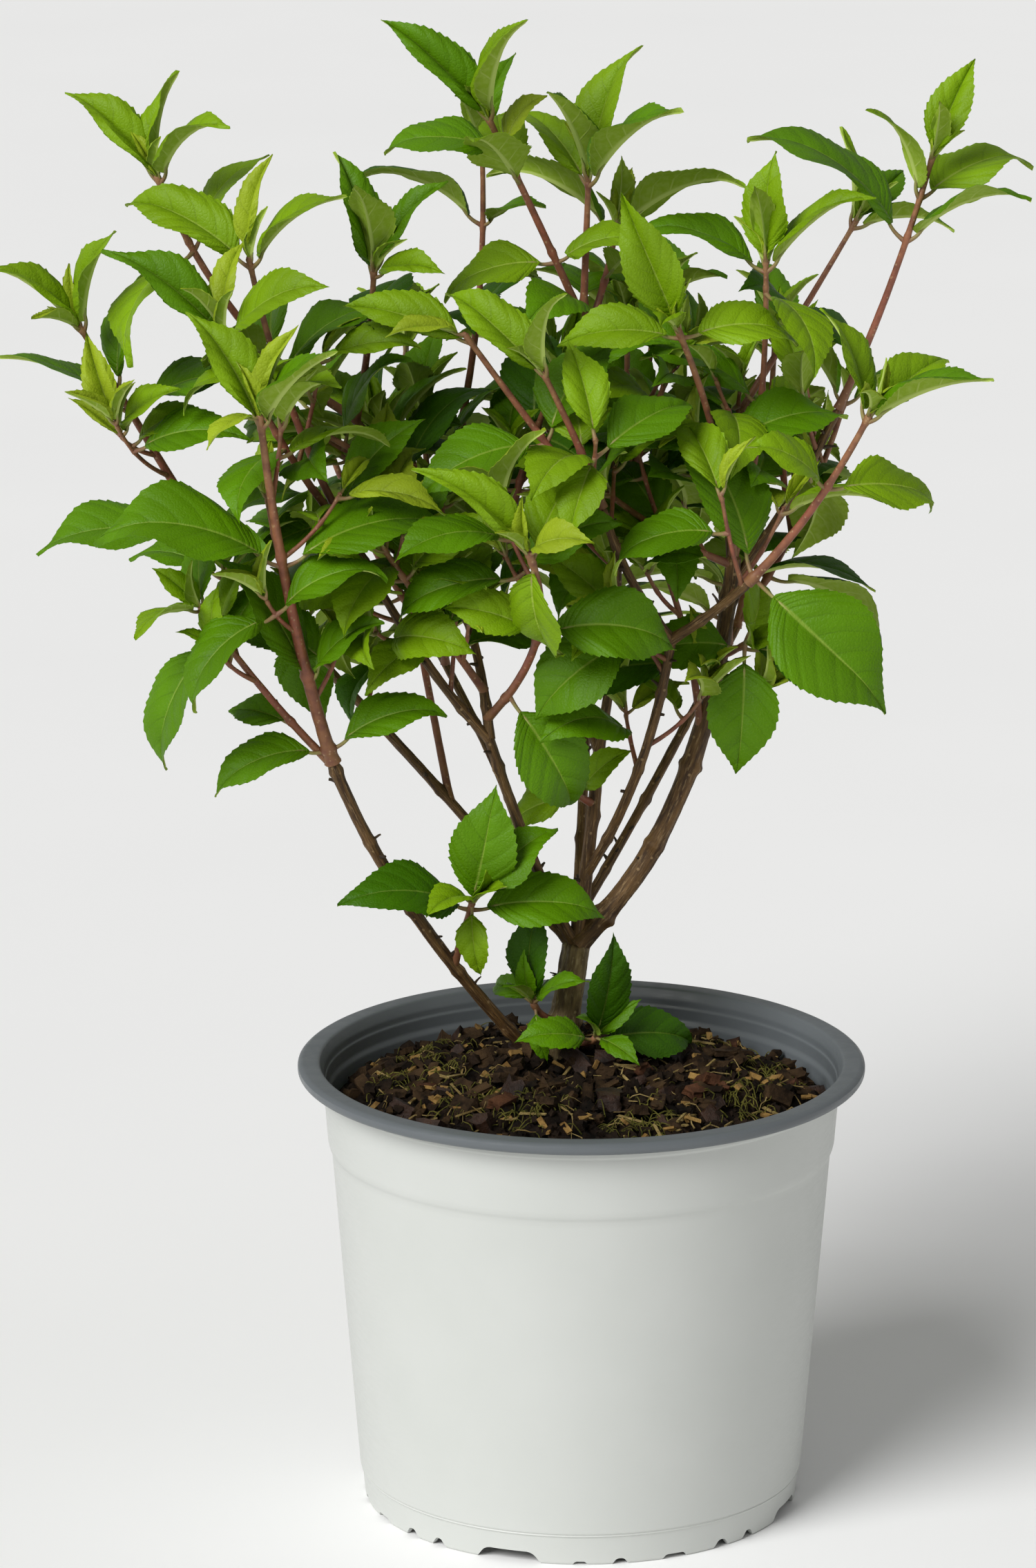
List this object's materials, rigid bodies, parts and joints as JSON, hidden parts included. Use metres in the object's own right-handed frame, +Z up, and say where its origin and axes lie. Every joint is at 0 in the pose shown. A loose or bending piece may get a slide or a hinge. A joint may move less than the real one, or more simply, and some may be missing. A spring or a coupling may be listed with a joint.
{
  "type": "potted hydrangea shrub",
  "caption": "Young panicle hydrangea shrub in leaf, with woody stems, upright shoots and paired serrate leaves, in a white round nursery pot filled with bark compost.",
  "frame": {"origin": "on the pot's axis, on the flat underside of its middle foot", "axes": "+Z up along the pot's axis, -Y towards the side that faces the viewer, +X to that viewer's right"},
  "size_m": [0.4198, 0.325, 0.6092],
  "materials": {
    "pot": "smooth moulded white plastic with a soft sheen",
    "soil": "loose damp bark compost",
    "bark": "matt brown-grey bark of young wood",
    "leaf": "soft green leaf with a low sheen, on reddish shoots"
  },
  "bodies": {
    "root": {"trunk": "bark", "left_stem": "bark", "left_middle_bough": "bark", "far_left_bough": "bark", "upper_left_bough": "bark", "high_left_bough": "bark", "centre_bough": "bark", "back_centre_bough": "bark", "top_centre_bough": "bark", "front_bough": "bark", "front_left_bough": "bark", "front_right_bough": "bark", "right_bough": "bark", "high_right_bough": "bark", "back_right_bough": "bark", "back_bough": "bark", "back_left_bough": "bark", "far_right_bough": "bark", "leaves_left_front": "leaf", "leaves_left_low": "leaf", "leaves_far_left": "leaf", "leaves_high_left": "leaf", "leaves_left_inner": "leaf", "leaves_left_tip": "leaf", "leaves_left_bud": "leaf", "leaves_left_middle": "leaf", "leaves_front": "leaf", "leaves_centre": "leaf", "leaves_centre_left": "leaf", "leaves_right_front": "leaf", "leaves_centre_low": "leaf", "leaves_right_centre": "leaf", "leaves_right_upright": "leaf", "leaves_back_slant": "leaf", "leaves_high_right": "leaf", "leaves_top": "leaf", "leaves_top_left": "leaf", "leaves_top_right": "leaf", "leaves_back_top": "leaf", "leaves_hanging": "leaf", "leaves_low_front": "leaf", "leaves_soil_left": "leaf", "leaves_soil_front": "leaf", "leaves_fork": "leaf", "leaves_inner_left": "leaf", "leaves_inner_middle": "leaf", "leaves_inner_centre": "leaf", "leaves_inner_right": "leaf", "leaves_inner_low": "leaf", "leaves_back_a": "leaf", "leaves_back_b": "leaf", "leaves_back_c": "leaf", "leaves_back_left_a": "leaf", "leaves_back_left_b": "leaf", "leaves_back_left_c": "leaf", "leaves_back_right_a": "leaf", "leaves_back_right_b": "leaf", "leaves_back_right_c": "leaf", "soil": "soil", "pot": "pot"}
  },
  "joints": []
}
